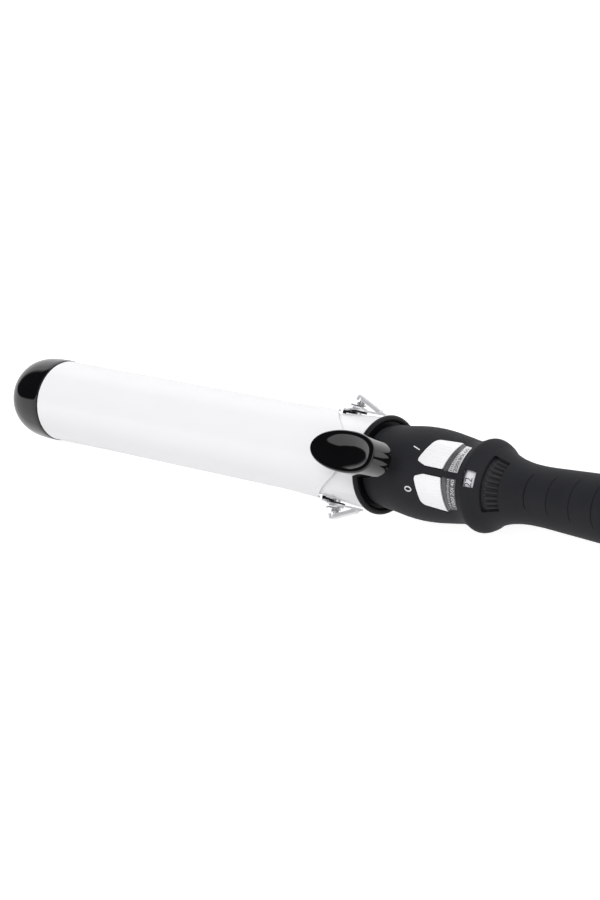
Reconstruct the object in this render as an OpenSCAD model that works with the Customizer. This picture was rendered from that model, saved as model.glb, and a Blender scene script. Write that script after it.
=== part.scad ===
// Spring-clamp curling iron with a ceramic-coated barrel of the 38 mm class. Millimetres.
// Everything is drawn about the barrel axis: x runs from the cap seam towards the cord,
// and z points at the clamp. placed() then moves the iron so that the origin is the
// bottom centre of its bounding box.

/* [Barrel] */
// Outer radius of the heated tube
barrel_r = 18.4; // [18.2:0.1:18.5]
// Wall of the heated tube
barrel_wall = 1.1; // [0.9:0.1:1.2]
// Length of the heated tube
barrel_len = 203; // [202:1:203]
// Radius of the cool tip
cap_r = 19.9; // [19.6:0.1:20]
// Length of the cool tip outside the tube
cap_len = 28; // [24:1:30]

/* [Clamp] */
// Play between the closed clamp and the tube
clamp_gap = 0.3; // [0.2:0.05:0.35]
// Thickness of the clamp sheet
clamp_t = 0.9; // [0.8:0.05:1]
// How far round the clamp reaches from its crown, in degrees
clamp_edge = 86; // [84:1:86]
// How far the clamp's ears stand out at the hinge
ear_flare = 1.3; // [1.2:0.1:1.4]
// How far the saddle's side sheets stand off the tube at the collar
saddle_flare = 0.8; // [0.6:0.1:0.9]
// Place of the hinge axis
pivot_x = 183; // [182:1:184]
// Height of the tongue under the lever, above the closed clamp
tongue_rise = 8.6; // [8.4:0.1:8.8]
// Half the width of the hinge wings' strip
wing_half = 2.6; // [2.4:0.1:2.8]

/* [Lever] */
// Front tip of the thumb face
lever_front = [187, 32]; // [180:0.5:230]
// Back edge of the thumb face
lever_back = [228.8, 40.4]; // [20:0.2:230]
// Half the width of the lever
lever_half = 9; // [8.6:0.1:9.2]

/* [Handle] */
// Radius of the finger collar, on which the iron lies
collar_r = 21.8; // [21.6:0.1:22]
// Wall of the handle shells
wall = 2.2; // [2:0.1:2.4]
// Radius of the cord hole in the swivel
cord_r = 3.25; // [3:0.05:3.5]
// Number of finger grooves on the upper shell
grooves = 6; // [4:1:6]

/* [Controls] */
// How far the switch buttons stand out of the shell
button_proud = 0.35; // [0.2:0.05:0.4]
// Number of ribs on the thumbwheel
wheel_ribs = 36; // [30:1:40]

/* [Hidden] */

$fn = 96;
play = 0.05;
cut = 30;

// Places along the axis
collar_x = 203.2;
shell_x = 206;
board_x = [214, 249];
wheel_x = [260, 275.7];
swivel_x = 374;
handle_end = 360;
mid_x = (swivel_x - cap_len) / 2;

// Clamp
clamp_ri = barrel_r + clamp_gap;
clamp_ro = clamp_ri + clamp_t;
wing_t = 0.8;
wing_in = clamp_ro + ear_flare;
wing_out = wing_in + wing_t;
tongue_x = 222.5;
lever_tilt = (lever_back[1] - lever_front[1]) / (lever_back[0] - lever_front[0]);

// Controls
sleeve_r = 9.4;
wheel_gap = 1.3;
drum_r = 15.8;
switch_spot = [243, 7];
screw_spots = [[254.4, 11.5], [254.4, -11.5], [296, 0], [328, 0]];

module placed() {
    translate([-mid_x, 0, collar_r]) children();
}

// A solid of revolution about the x axis, from [radius, x] points
module turned(points) {
    rotate([0, 90, 0]) rotate_extrude() polygon(points);
}

// A tube along x
module tube(x0, x1, r_in, r_out) {
    turned([[r_in, x0], [r_out, x0], [r_out, x1], [r_in, x1]]);
}

// A rod along x
module rod(x0, x1, r) {
    translate([x0, 0, 0]) rotate([0, 90, 0]) cylinder(r = r, h = x1 - x0);
}

// A flat outline in y and z, extruded along x
module bar(x0, x1) {
    translate([x0, 0, 0]) rotate([90, 0, 90]) linear_extrude(x1 - x0) children();
}

// A straight run of strip in a plane, from p to q, thickened to the left by t
module run(p, q, t) {
    d = q - p;
    translate(p) rotate(atan2(d[1], d[0])) square([norm(d), t]);
}

// A closed skin over a list of rings with the same number of points. The rings of a sheet
// run out along one face and back along the other, so its ends close strip by strip.
module loft(rings, sheet = false) {
    m = len(rings[0]);
    n = len(rings);
    end = (n - 1) * m;
    polyhedron(
        points = [for (ring = rings) each ring],
        faces = concat(
            sheet ? [for (k = [0:m / 2 - 2]) [m - 1 - k, m - 2 - k, k + 1, k]]
                : [[for (j = [m - 1:-1:0]) j]],
            [for (i = [0:n - 2], j = [0:m - 1])
                each let (a = i * m + j, b = i * m + (j + 1) % m)
                    [[a, b + m, a + m], [a, b, b + m]]],
            sheet ? [for (k = [0:m / 2 - 2])
                    [end + k, end + k + 1, end + m - 2 - k, end + m - 1 - k]]
                : [[for (j = [0:m - 1]) end + j]]),
        convexity = 6);
}

// A coil spring about z, starting at z = 0
module coil(turns, pitch, r, wire_r) {
    steps = 14;
    loft([for (k = [0:turns * steps])
        let (a = 360 * k / steps, rise = pitch * k / steps)
        [for (s = [0:5])
            let (q = r + wire_r * cos(60 * s))
            [q * cos(a), q * sin(a), rise + wire_r * sin(60 * s)]]]);
}

// ---- Profile of the handle -----------------------------------------------------------

// [x, radius] where the handle's outline changes character
stations = [[206, 17.3], [210, 18.2], [216, 18.8], [224, 19.8], [231, 20.1],
    [238, 19.7], [246, 18.65], [252, 17.8], [255, 18], [258, 18.9], [261, 20],
    [264, 19], [267, 16.9], [270, 15.4], [275, 13.8], [282, 12.7], [290, 12.5],
    [300, 12.95], [312, 13.55], [330, 14.4], [345, 14.6], [354, 14.1],
    [358, 13], [360, 11.4]];
last = len(stations) - 1;

function slope(i) =
    let (a = stations[max(i - 1, 0)], b = stations[min(i + 1, last)])
    (b[1] - a[1]) / (b[0] - a[0]);
function span_of(x, i = 0) =
    i == last - 1 || x <= stations[i + 1][0] ? i : span_of(x, i + 1);
function handle_r(x) =
    let (i = span_of(x), p = stations[i], q = stations[i + 1], h = q[0] - p[0],
        u = (x - p[0]) / h)
    p[1] * (1 + 2 * u) * (1 - u) * (1 - u) + slope(i) * h * u * (1 - u) * (1 - u)
    + q[1] * u * u * (3 - 2 * u) + slope(i + 1) * h * u * u * (u - 1);

// Points of the outline from x0 to x1, moved in by inset
function outline(x0, x1, step, inset) =
    let (n = ceil((x1 - x0) / step))
    [for (k = [0:n]) let (x = x0 + (x1 - x0) * k / n) [handle_r(x) - inset, x]];

// The skin between two depths under the handle's surface
module skin(x0, x1, deep, shallow) {
    turned(concat(outline(x0, x1, 1.5, shallow),
        [for (k = [len(outline(x0, x1, 1.5, deep)) - 1:-1:0]) outline(x0, x1, 1.5, deep)[k]]));
}

module handle_body() {
    turned(concat([[0, shell_x]], outline(shell_x, 285, 2, 0),
        outline(288, handle_end, 4, 0), [[0, handle_end]]));
}

// Room inside the handle, with the ribs that carry the sleeve and grip the insulator
module handle_room() {
    rear = 355;
    difference() {
        union() {
            turned(concat([[0, 210]], outline(210, 285, 3, wall),
                outline(288, rear, 6, wall), [[0, rear]]));
            turned(concat([[0, 258.2]], outline(258.2, 276.4, 1.5, wheel_gap - 0.35),
                [[0, 276.4]]));
            rod(shell_x - 1, 211, 14.05);
            rod(rear - 1, handle_end + 1, 7.06);
        }
        tube(256.2, 258.2, sleeve_r, cut);
        tube(276.4, 278.4, sleeve_r, cut);
    }
}

// Seat of the sleeve in the ribs and screw posts
module sleeve_seat() {
    rod(256.2, 279, sleeve_r);
}

module half(side) {
    translate([0, -50, side > 0 ? 0 : -100]) cube([500, 100, 100]);
}

// ---- Barrel and heater ---------------------------------------------------------------

module tip_cap() {
    color("black") difference() {
        turned(concat(
            [for (k = [0:24]) [cap_r * sin(90 * k / 24),
                -cap_len * pow(cos(90 * k / 24), 0.57)]],
            [[barrel_r - barrel_wall - play, 0], [barrel_r - barrel_wall - play, 8],
                [0, 8]]));
        rod(-18, 9, 15);
    }
}

module barrel_tube() {
    color("whitesmoke") difference() {
        tube(0, barrel_len, barrel_r - barrel_wall, barrel_r);
        translate([pivot_x, -cut, 0]) rotate([-90, 0, 0]) cylinder(r = 1.5, h = 2 * cut);
        barrel_screw_holes(1.15);
    }
}

module barrel_screw_holes(r) {
    for (a = [150, 210]) rotate([a, 0, 0]) translate([197, 0, 10]) cylinder(r = r, h = 12);
}

// Half of the ribbed aluminium extrusion that carries heat to the tube
module heat_spreader(side) {
    r = barrel_r - barrel_wall - 0.1;
    color("silver") mirror([0, 0, side > 0 ? 0 : 1]) bar(10, 172) {
        difference() {
            circle(r);
            circle(r - 1.6);
            translate([-20, -40]) square([40, 41.6]);
        }
        intersection() {
            circle(r - 0.8);
            union() {
                translate([-20, 1.6]) square([40, 1.6]);
                for (y = [-9.7, 8.3]) translate([y, 1.6]) square([1.4, 20]);
            }
        }
    }
}

module heat_spreader_upper() heat_spreader(1);

module heat_spreader_lower() heat_spreader(-1);

module ceramic_heater() {
    color("linen") translate([14, -11, -1.5]) cube([154, 22, 3]);
}

module thermistor() {
    color("orange") translate([0, 7, 0]) {
        rod(168, 172.5, 1);
        rod(172.5, 179, 0.4);
    }
}

module thermal_fuse() {
    color("silver") translate([0, -7, 0]) {
        rod(168, 170, 0.4);
        rod(170, 180, 1.5);
        rod(180, 186, 0.4);
    }
}

module heater_leads() {
    color("white") for (y = [-3, 3]) translate([0, y, 0]) {
        rod(168, 219, 1);
        translate([218, 0, 0]) cylinder(r = 0.9, h = 4);
    }
}

module base_insulator() {
    r = barrel_r - barrel_wall - play;
    color("dimgray") difference() {
        union() {
            tube(188, barrel_len, 8, r);
            tube(barrel_len, 212, 8, 14);
            tube(211.1, 213, 8, 15.4);
        }
        barrel_screw_holes(0.95);
    }
}

module barrel_screws() {
    color("silver") for (a = [150, 210]) rotate([a, 0, 0]) translate([197, 0, 0]) {
        translate([0, 0, 11]) cylinder(r = 0.9, h = barrel_r - 10.8);
        translate([0, 0, barrel_r]) cylinder(r = 1.9, h = 0.9);
    }
}

module collar() {
    bead = 1.4;
    color("black") {
        tube(collar_x, collar_x + 1.7, 14.05, collar_r - bead);
        turned([[collar_r - 2 * bead, collar_x], [collar_r - bead, collar_x],
            [collar_r - bead, collar_x + 2 * bead], [collar_r - 2 * bead, collar_x + 2 * bead]]);
        rotate([0, 90, 0]) rotate_extrude() translate([collar_r - bead, collar_x + bead])
            circle(bead, $fn = 32);
    }
}

// ---- Hinge ---------------------------------------------------------------------------

// Strap welded round the underside of the tube, with a side sheet that flares out from
// each end of it towards the collar
module hinge_saddle() {
    color("white") difference() {
        union() {
            difference() {
                tube(pivot_x - 5, pivot_x + 5, barrel_r + 0.02, barrel_r + 0.8);
                translate([0, -cut, 2.6]) cube([300, 2 * cut, cut]);
            }
            both_sides() loft([for (x = [pivot_x + 1.5, pivot_x + 5, pivot_x + 9,
                pivot_x + 13, collar_x - 0.4]) saddle_ring(x)], sheet = true);
        }
        translate([pivot_x, -cut, 0]) rotate([-90, 0, 0]) cylinder(r = 1.5, h = 2 * cut);
    }
}

// One section of the side sheet, from its feather edge on the tube down to the strap
function saddle_ring(x) =
    let (n = 8, inner = barrel_r + 0.02, flare = 0.7 + saddle_flare * blend((x - pivot_x) / 14))
    concat([for (k = [0:n]) let (a = 58 + 42 * k / n,
            r = inner + 0.25 + flare * blend((a - 58) / 30)) [x, r * sin(a), r * cos(a)]],
        [for (k = [n:-1:0]) let (a = 58 + 42 * k / n,
            r = inner + max(0, flare * blend((a - 58) / 30) - 0.55))
            [x, r * sin(a), r * cos(a)]]);

// Shouldered rivet: formed head inside the tube, disc outside the wing, post for the spring
module pivot_rivet() {
    color("gainsboro") translate([pivot_x, 0, 0]) rotate([-90, 0, 0]) {
        translate([0, 0, 15.8]) cylinder(r = 2.5, h = 1.1);
        translate([0, 0, 16]) cylinder(r = 1.45, h = wing_out + 0.6 - 16);
        translate([0, 0, wing_out + 0.05]) cylinder(r = 3.2, h = 0.9);
        translate([0, 0, wing_out + 0.5]) cylinder(r = 1, h = 3.4);
    }
}

module pivot_rivet_left() pivot_rivet();

module pivot_rivet_right() mirror([0, 1, 0]) pivot_rivet();

module hinge_spring() {
    color("silver") translate([pivot_x, wing_out + 1.3, 0]) rotate([-90, 0, 0])
        coil(turns = 3, pitch = 0.66, r = 1.6, wire_r = 0.3);
}

module hinge_spring_left() hinge_spring();

module hinge_spring_right() mirror([0, 1, 0]) hinge_spring();

// Folded strip: plate on the pivot, fold by the collar, slope out to the apex, hook down.
// A web along the top of the slope stiffens it.
module hinge_wing() {
    t = wing_t;
    front = [pivot_x - 9, wing_in];
    bend = [pivot_x + 5, wing_in];
    fold = [pivot_x + 15, wing_in - 0.1];
    apex = [pivot_x - 0.6, wing_in + 6.4];
    hook = [pivot_x - 3, wing_in + 5.6];
    color("gainsboro") difference() {
        union() {
            translate([0, 0, -wing_half]) linear_extrude(2 * wing_half) {
                run(front, bend + [0.1, 0], t);
                run(bend, fold, t);
                translate(fold + [0, t]) circle(t, $fn = 24);
                run(fold + [0.5, t], apex + [0.5, 0], t);
                translate(apex) circle(t, $fn = 24);
            }
            translate([0, 0, wing_half - 0.1]) linear_extrude(0.8) intersection() {
                union() {
                    run(fold + [0.5, t], apex + [0.5, 0], 2.4);
                    translate(fold + [0, t]) circle(t, $fn = 24);
                }
                translate(fold - [40, 0]) square([80, 20]);
            }
            translate([0, 0, -1]) linear_extrude(2) {
                run(hook, apex, t);
                translate(hook) circle(t, $fn = 24);
                run(hook, hook - [0, 3], t);
            }
        }
        translate([pivot_x, 0, 0]) rotate([-90, 0, 0]) cylinder(r = 1.5, h = 24);
    }
}

module hinge_wing_left() hinge_wing();

module hinge_wing_right() mirror([0, 1, 0]) hinge_wing();

// ---- Clamp and lever -----------------------------------------------------------------

function blend(u) = let (v = min(max(u, 0), 1)) v * v * (3 - 2 * v);

// Half angle of the clamp sheet: full, then a vee that narrows to the tongue
function half_angle(x) =
    let (full = pivot_x - 8.6, v1 = pivot_x - 0.7, v2 = pivot_x + 6.3,
        v3 = pivot_x + 12.5, v4 = pivot_x + 16)
    lookup(x, [[full - 1, clamp_edge], [full, 80], [v1, 53], [v2, 36], [v3, 24],
        [v4, 21], [tongue_x - 3, 20], [tongue_x - 1, 16], [tongue_x, 9]]);

// Height of the sheet over its closed place, behind the pivot
function rise(x) =
    lookup(x, [[pivot_x, 0], [pivot_x + 9, 1.6], [pivot_x + 17, tongue_rise],
        [tongue_x, tongue_rise]]);

// Radius of the sheet's inner face: the sides flare out into ears at the hinge
function sheet_r(x, a) =
    clamp_ri + ear_flare * blend((x - pivot_x + 36) / 28) * blend((abs(a) - 48) / 36)
    * blend((pivot_x + 12 - x) / 10);

function sheet_point(x, a, out) =
    let (r = sheet_r(x, a) + out) [x, r * sin(a), r * cos(a) + rise(x)];

// One section of the sheet; a tucked one is thin enough to end inside the half shell
function sheet_ring(x, tuck) =
    let (n = 22, w = half_angle(x) - 10 * tuck)
    concat([for (k = [0:n]) sheet_point(x, w * (2 * k / n - 1), clamp_t - tuck)],
        [for (k = [n:-1:0]) sheet_point(x, w * (2 * k / n - 1), tuck)]);

// A long half shell; behind it the sheet flares, narrows in a vee and rises as a tongue
module clamp_sheet() {
    full = pivot_x - 8.6;
    flare = pivot_x - 36;
    bar(0.6, flare + 0.5) difference() {
        circle(clamp_ro);
        circle(clamp_ri);
        translate([-cut, -2 * cut]) square([2 * cut, 2 * cut]);
        for (s = [0, 1]) mirror([s, 0]) rotate(90 - clamp_edge)
            translate([0, -cut]) square([cut, cut]);
    }
    loft(concat([sheet_ring(flare, 0.15), sheet_ring(flare + 0.6, 0.15)],
        [for (x = concat([for (k = [0:6]) flare + 2 + (full - 3 - flare) * k / 6],
            [full, full + 2.6, full + 5.4, full + 7.9, full + 10.2, full + 12.4],
            [pivot_x + 6.3, pivot_x + 9, pivot_x + 12.5, pivot_x + 17, tongue_x - 3,
                tongue_x - 1, tongue_x])) sheet_ring(x, 0)]), sheet = true);
}

module clamp_plate() {
    color("white") difference() {
        clamp_sheet();
        lever_screw_holes(1.5);
    }
}

module lever_screw_holes(r) {
    for (x = [208, 217]) translate([x, 0, 20]) cylinder(r = r, h = 13.6, $fn = 24);
}

// A ring of the lever: egg-shaped in plan, at a share s of the way up to the thumb face
function lever_ring(s) =
    let (x0 = 199.5 + (lever_front[0] - 199.5) * s, x1 = lever_back[0],
        mid = x0 + (x1 - x0) * 0.56, w = lever_half * (0.97 + 0.03 * s),
        floor = clamp_ro + tongue_rise - 1.4)
    [for (k = [0:35])
        let (a = 10 * k, x = mid + (cos(a) > 0 ? x1 - mid : mid - x0) * blunt(cos(a), a),
            top = lever_front[1] + (x - lever_front[0]) * lever_tilt)
        [x, w * blunt(sin(a), a), floor + (top - floor) * s]];

// Squares off the rear half of an oval's cosine or sine
function blunt(v, a) = cos(a) > 0 ? sign(v) * pow(abs(v), 0.82) : v;

// A ring of the egg-shaped dish, at a share q of its half width, high over the face or
// as deep as a bowl
function dish_ring(q, high) =
    let (mid = lever_back[0] - 18.4)
    [for (k = [0:35])
        let (a = 10 * k, x = mid + (cos(a) > 0 ? 15.8 : 19.4) * q * blunt(cos(a), a),
            face = lever_front[1] + (x - lever_front[0]) * lever_tilt)
        [x, (lever_half - 1.9) * q * blunt(sin(a), a), face + high - 1.8 * (1 - q * q)]];

module thumb_lever() {
    color("black") difference() {
        loft([for (s = [1, 0.75, 0.5, 0.25, 0]) lever_ring(s)]);
        translate([190, -7.4, 20]) cube([tongue_x - 189.6, 14.8,
            clamp_ro + tongue_rise - 20]);
        rotate([90, 0, 0]) translate([0, 0, -20]) linear_extrude(40)
            polygon([[223, 20], [223, 26.8], [232, 28.2], [232, 20]]);
        loft([dish_ring(1.0, 2), dish_ring(1.0, 0), dish_ring(0.85, 0), dish_ring(0.65, 0),
            dish_ring(0.4, 0), dish_ring(0.12, 0)]);
        lever_screw_holes(1.3);
    }
}

module lever_screws() {
    under = clamp_ri + tongue_rise - 0.16;
    color("silver") for (x = [208, 217]) translate([x, 0, under]) {
        translate([0, 0, -1.2]) cylinder(r = 2.3, h = 1.2);
        cylinder(r = 1.15, h = 5.5);
    }
}

// ---- Handle --------------------------------------------------------------------------

// Plan of the button on the +y side, grown by g on every side
function button_plan(g) = concat(
    [[238.9, 1.8 - g], [248.5 + g, 1.8 - g], [250.7 + g, 14.6 + g], [240.6, 14 + g]],
    [for (k = [0:4]) let (u = k / 4)
        [239.2 - g - 3 * u + 0.9 * u * (1 - u) * -1, 13.2 + g * (1 - u) - 10 * u]]);

// Plan of the silver scale on the +y side
scale_plan = [[251.3, 1.4], [256.7, 1.4], [257.2, 13.2], [253, 13.6]];

// Plan of the smoked light band on the +y side
lens_plan = [[249.1, 1.4], [251.1, 1.4], [252.8, 13.6], [251.1, 14.2]];

module plan(points, z0 = 0) {
    translate([0, 0, z0]) linear_extrude(cut) polygon(points);
}

module both_sides() {
    children();
    mirror([0, 1, 0]) children();
}

module number_window(grow) {
    plan([[261 - grow, -3.6 - grow], [265.5 + grow, -3.3 - grow],
        [265.5 + grow, 3.3 + grow], [261 - grow, 3.6 + grow]]);
}

module handle_shell_upper() {
    color([0.12, 0.12, 0.13]) difference() {
        union() {
            intersection() {
                difference() {
                    handle_body();
                    handle_room();
                }
                half(1);
            }
            for (p = screw_spots) translate([p[0], p[1], 0])
                cylinder(r = 2.5, h = handle_r(p[0]) - (p[1] == 0 ? 1.3 : 7.2));
        }
        sleeve_seat();
        for (p = screw_spots) translate([p[0], p[1], -1]) cylinder(r = 1.15, h = 8.5);
        both_sides() plan(button_plan(0.35), 5);
        both_sides() intersection() {
            skin(248, 258, 0.6, -1);
            union() {
                plan(scale_plan, 5);
                plan(lens_plan, 5);
            }
        }
        number_window(0);
        plan([[267.7, -12.1], [275.2, -10.1], [275.2, 10.1], [267.7, 12.1]]);
        for (k = [0:grooves - 1]) finger_groove(287 + 11.3 * k);
    }
}

module finger_groove(x) {
    r = handle_r(x);
    intersection() {
        tube(x - 0.35, x + 0.35, r - 0.6, r + 2);
        translate([x - 1, -0.72 * r, 0]) cube([2, 1.44 * r, cut]);
    }
}

module handle_shell_lower() {
    color([0.12, 0.12, 0.13]) difference() {
        union() {
            intersection() {
                difference() {
                    handle_body();
                    handle_room();
                }
                half(-1);
            }
            intersection() {
                handle_body();
                for (p = screw_spots) translate([p[0], p[1], -cut])
                    cylinder(r = 3.6, h = cut - (p[1] == 0 ? 3 : 0));
            }
            for (s = [0, 1]) mirror([0, s, 0]) {
                translate([220, 11.8, -3]) cube([24, 5, 3]);
                translate([220, 11.8, -1]) cube([24, 3.6, 5]);
            }
        }
        sleeve_seat();
        for (p = screw_spots) translate([p[0], p[1], -cut]) {
            cylinder(r = 1.15, h = 2 * cut);
            cylinder(r = 2.8, h = cut - screw_seat(p));
        }
    }
}

// Depth under the parting plane at which a handle screw's head sits
function screw_seat(p) = p[1] == 0 ? 7.5 : 6;

module handle_screws() {
    color("silver") for (p = screw_spots) translate([p[0], p[1], -screw_seat(p)]) {
        translate([0, 0, -1.6]) cylinder(r = 2.3, h = 1.6);
        cylinder(r = 1.1, h = screw_seat(p) + 6.5);
    }
}

// ---- Switch buttons and electronics --------------------------------------------------

module button() {
    color("silver") {
        intersection() {
            skin(234, 253, 1.9, -button_proud);
            plan(button_plan(0), 5);
        }
        intersection() {
            skin(234, 253, 3.6, 2.5);
            plan(button_plan(0.8), 5);
        }
        intersection() {
            skin(234, 253, 2.7, 1.7);
            plan(button_plan(-1), 5);
        }
        translate([switch_spot[0], switch_spot[1], 0]) {
            translate([0, 0, 11.35]) cylinder(r = 1.5, h = 3);
            translate([0, 0, 12]) cylinder(r = 2.6, h = 2.4);
        }
    }
}

module on_button() button();

module off_button() mirror([0, 1, 0]) button();

module button_spring() {
    color("silver") translate([switch_spot[0], switch_spot[1], 9.87])
        coil(turns = 3, pitch = 0.61, r = 2.2, wire_r = 0.25);
}

module on_button_spring() button_spring();

module off_button_spring() mirror([0, 1, 0]) button_spring();

module tact_switch() {
    color("dimgray") translate([switch_spot[0], switch_spot[1], 5.6]) {
        translate([-3, -3, 0]) cube([6, 6, 4]);
        cylinder(r = 1.5, h = 4.9);
    }
}

module on_switch() tact_switch();

module off_switch() mirror([0, 1, 0]) tact_switch();

module control_board() {
    color("darkgreen") translate([board_x[0], -12.5, 4])
        cube([board_x[1] - board_x[0], 25, 1.6]);
}

module triac() {
    color([0.2, 0.2, 0.2]) translate([216, -9, 5.6]) {
        cube([10, 4.4, 5]);
        translate([0, 3.1, 5]) cube([10, 1.3, 3]);
    }
}

module capacitor() {
    color("goldenrod") translate([217, 2, 5.6]) cube([12, 5.5, 8]);
}

module indicator_leds() {
    color("red") for (y = [-4.5, 4.5]) translate([247.4, y, 5.6]) {
        cylinder(r = 1, h = 3.2);
        translate([0, 0, 3.2]) sphere(1);
    }
}

module scale_strip() {
    color("lightgray") both_sides() intersection() {
        skin(249, 258, 0.55, -0.05);
        plan(scale_plan, 5);
    }
}

module scale_lens() {
    color([0.3, 0.3, 0.32]) both_sides() intersection() {
        skin(248, 256, 0.55, -0.02);
        plan(lens_plan, 5);
    }
}

module number_lens() {
    color([0.8, 0.8, 0.85, 0.4]) intersection() {
        skin(260, 267, wheel_gap - 0.3, 0.05);
        number_window(-play);
    }
}

// ---- Temperature wheel ---------------------------------------------------------------

module thumbwheel() {
    rim = wheel_x[0] + 6.6;
    color([0.1, 0.1, 0.1]) difference() {
        turned(concat([[sleeve_r + play, wheel_x[0]], [drum_r - 1.2, wheel_x[0]],
                [drum_r - 1.2, rim]],
            outline(rim + 0.6, wheel_x[1], 1.5, wheel_gap),
            [[sleeve_r + play, wheel_x[1]]]));
        for (k = [0:wheel_ribs - 1]) rotate([360 * k / wheel_ribs, 0, 0])
            translate([rim + 0.9, -0.45, 0]) wheel_flute();
    }
}

// One groove between two ribs, which follows the wheel's cone
module wheel_flute() {
    length = wheel_x[1] - wheel_x[0] - 7.5;
    deep = 0.7;
    rotate([90, 0, 0]) translate([0, 0, -0.9]) linear_extrude(0.9)
        polygon([[-0.3, 15.1 - deep], [length / 2, 12.75 - deep], [length + 1, 12 - deep],
            [length + 1, 20], [-0.3, 20]]);
}

module number_drum() {
    color("silver") tube(wheel_x[0] + 0.4, wheel_x[0] + 5.8, drum_r - 1.15, drum_r);
}

module wiper_contact() {
    color("gold") {
        tube(wheel_x[0] - 0.35, wheel_x[0], 10.2, 13.4);
        for (a = [-12, 0, 12]) rotate([a, 0, 0]) translate([0, 0, 12])
            rod(wheel_x[0] - 0.52, wheel_x[0] - 0.3, 0.5);
    }
}

module rheostat_ring() {
    color("saddlebrown") tube(258.2, 259.4, sleeve_r + play, 14.8);
}

module wheel_sleeve() {
    color("dimgray") tube(256.25, 280, 8, sleeve_r - 0.01);
}

// ---- Cord end ------------------------------------------------------------------------

module mains_leads() {
    color("brown") for (y = [-4.2, 4.2]) translate([0, y, -1.5]) {
        rod(245, 335, 1);
        translate([246, 0, 0]) cylinder(r = 0.9, h = 5.5);
    }
}

module brush_holder() {
    color("dimgray") difference() {
        rod(335, 337.5, handle_r(335) - wall - 0.15);
        for (y = [-4.2, 4.2]) translate([334, y, -1.5]) rotate([0, 90, 0])
            cylinder(r = 0.6, h = 5);
    }
}

module brush_contacts() {
    color("gold") for (s = [0, 1]) mirror([0, s, 0]) {
        translate([337.5, 5.7, -1.5]) cube([s > 0 ? 4.5 : 9, 0.4, 3]);
        translate([337.5, 5.9, -1.5]) cube([0.5, 2, 3]);
    }
}

module contact_rings() {
    color("gold") for (x = [339, 343.5]) tube(x, x + 3, 4.62, 5.6);
}

module cord_swivel() {
    nose = 360.6;
    color([0.12, 0.12, 0.13]) difference() {
        union() {
            rod(338, 353, 4.6);
            rod(352.2, 354.6, 9.5);
            rod(354, nose + 1, 7);
            turned([[0, nose], [9.2, nose], [9.6, nose + 0.6], [9.6, nose + 3],
                [8.6, nose + 6.5], [7.4, nose + 9.5], [6.2, swivel_x - 0.8],
                [5.4, swivel_x], [0, swivel_x]]);
        }
        rod(354, swivel_x + 1, cord_r);
        rod(337, 355, 1.6);
    }
}

placed() {
    tip_cap();
    barrel_tube();
    heat_spreader_upper();
    heat_spreader_lower();
    ceramic_heater();
    thermistor();
    thermal_fuse();
    heater_leads();
    base_insulator();
    barrel_screws();
    collar();
    hinge_saddle();
    pivot_rivet_left();
    pivot_rivet_right();
    hinge_spring_left();
    hinge_spring_right();
    clamp_plate();
    hinge_wing_left();
    hinge_wing_right();
    thumb_lever();
    lever_screws();
    handle_shell_upper();
    handle_shell_lower();
    handle_screws();
    on_button();
    off_button();
    on_button_spring();
    off_button_spring();
    on_switch();
    off_switch();
    control_board();
    triac();
    capacitor();
    indicator_leds();
    scale_strip();
    scale_lens();
    number_lens();
    thumbwheel();
    number_drum();
    wiper_contact();
    rheostat_ring();
    wheel_sleeve();
    mains_leads();
    brush_holder();
    brush_contacts();
    contact_rings();
    cord_swivel();
}
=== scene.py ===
# Curling iron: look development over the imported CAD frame. Lengths below are millimetres
# along the barrel axis t (from the cap seam towards the cord), across y and up z from the
# axis; P() turns them into the frame's metres.
import bpy
import bmesh
import math
from mathutils import Vector, Matrix


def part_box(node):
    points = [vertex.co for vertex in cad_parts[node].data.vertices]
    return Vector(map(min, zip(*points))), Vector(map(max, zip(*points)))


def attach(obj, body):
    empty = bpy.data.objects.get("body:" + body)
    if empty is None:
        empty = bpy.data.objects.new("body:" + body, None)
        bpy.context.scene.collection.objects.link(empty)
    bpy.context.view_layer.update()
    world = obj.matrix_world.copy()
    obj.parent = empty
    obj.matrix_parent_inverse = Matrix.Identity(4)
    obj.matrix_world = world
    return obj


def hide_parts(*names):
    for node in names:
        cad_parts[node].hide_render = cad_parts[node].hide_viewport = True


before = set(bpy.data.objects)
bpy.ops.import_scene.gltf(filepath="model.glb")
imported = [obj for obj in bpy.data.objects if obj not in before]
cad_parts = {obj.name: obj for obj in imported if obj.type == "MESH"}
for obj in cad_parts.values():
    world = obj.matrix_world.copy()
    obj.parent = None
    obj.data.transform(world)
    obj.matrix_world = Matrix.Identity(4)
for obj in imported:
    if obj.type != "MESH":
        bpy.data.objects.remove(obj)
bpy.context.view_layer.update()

tube_lo, tube_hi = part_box("barrel_tube")
T0 = tube_lo[0]
AXIS_Z = (tube_lo[2] + tube_hi[2]) / 2
MM = 0.001


def P(t, y, z):
    """Millimetres on the barrel to metres in the frame."""
    return (T0 + t * MM, y * MM, AXIS_Z + z * MM)


# ---- Materials -----------------------------------------------------------------------

def new_material(name):
    m = bpy.data.materials.new(name)
    m.use_nodes = True
    nt = m.node_tree
    bsdf = nt.nodes["Principled BSDF"]
    return m, nt, bsdf


def coords(nt, scale=(1, 1, 1)):
    tc = nt.nodes.new("ShaderNodeTexCoord")
    mp = nt.nodes.new("ShaderNodeMapping")
    mp.inputs["Scale"].default_value = scale
    nt.links.new(tc.outputs["Object"], mp.inputs["Vector"])
    return mp.outputs["Vector"]


def noise(nt, vec, scale, detail, rough=0.55):
    n = nt.nodes.new("ShaderNodeTexNoise")
    n.inputs["Scale"].default_value = scale
    n.inputs["Detail"].default_value = detail
    n.inputs["Roughness"].default_value = rough
    nt.links.new(vec, n.inputs["Vector"])
    return n.outputs["Fac"]


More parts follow.
